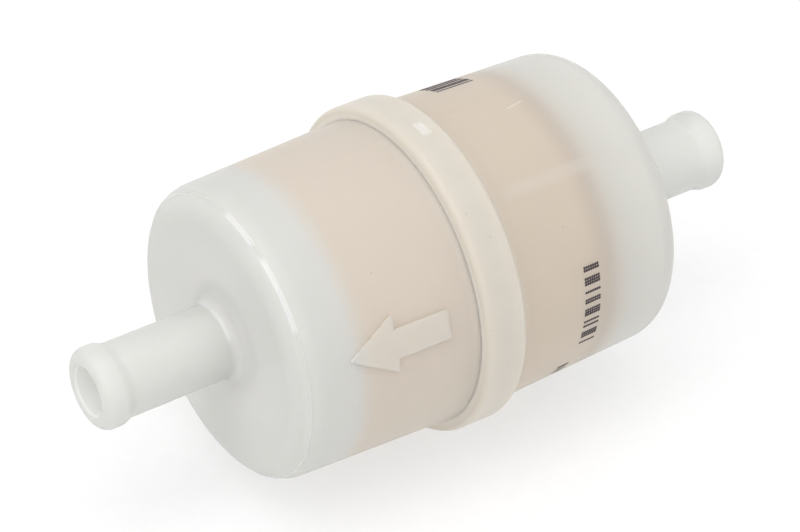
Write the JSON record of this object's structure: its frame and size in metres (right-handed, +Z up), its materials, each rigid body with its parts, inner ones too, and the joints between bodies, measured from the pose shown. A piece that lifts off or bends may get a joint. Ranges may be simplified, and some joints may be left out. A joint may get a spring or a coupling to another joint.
{
  "type": "fuel filter",
  "caption": "In-line fuel filter: milky cylindrical housing of two cups joined by a moulded ring, pleated paper element inside, and a beaded hose nipple on each end.",
  "frame": {"origin": "on the flow axis, half-way between the two nipple tips, the centre of the bounding box", "axes": "+X along the flow axis towards the inlet nipple, against the flow; +Z up; the raised arrow on the outlet shell is on the -Y side, a little above the axis"},
  "size_m": [0.078, 0.036, 0.036],
  "materials": {
    "natural_nylon": "natural nylon, milky and translucent, fine moulded surface with a soft gloss",
    "ring_nylon": "natural nylon, thick and nearly opaque, creamy",
    "filter_paper": "resin-treated filter paper, matt, warm beige",
    "core_plastic": "natural moulded nylon, matt",
    "bond": "cast adhesive, pale and slightly uneven",
    "seal_rubber": "black fuel-proof rubber",
    "marking_ink": "purple-black inkjet dots, thin and matt, for the printed marks that have no solid of their own"
  },
  "bodies": {
    "root": {"outlet_shell": "natural_nylon", "inlet_shell": "natural_nylon", "joint_ring": "ring_nylon", "pleated_paper": "filter_paper", "seam_clip": "core_plastic", "centre_tube": "core_plastic", "inlet_end_cap": "core_plastic", "outlet_end_cap": "core_plastic", "inlet_bond": "bond", "outlet_bond": "bond", "outlet_seal": "seal_rubber"}
  },
  "joints": []
}
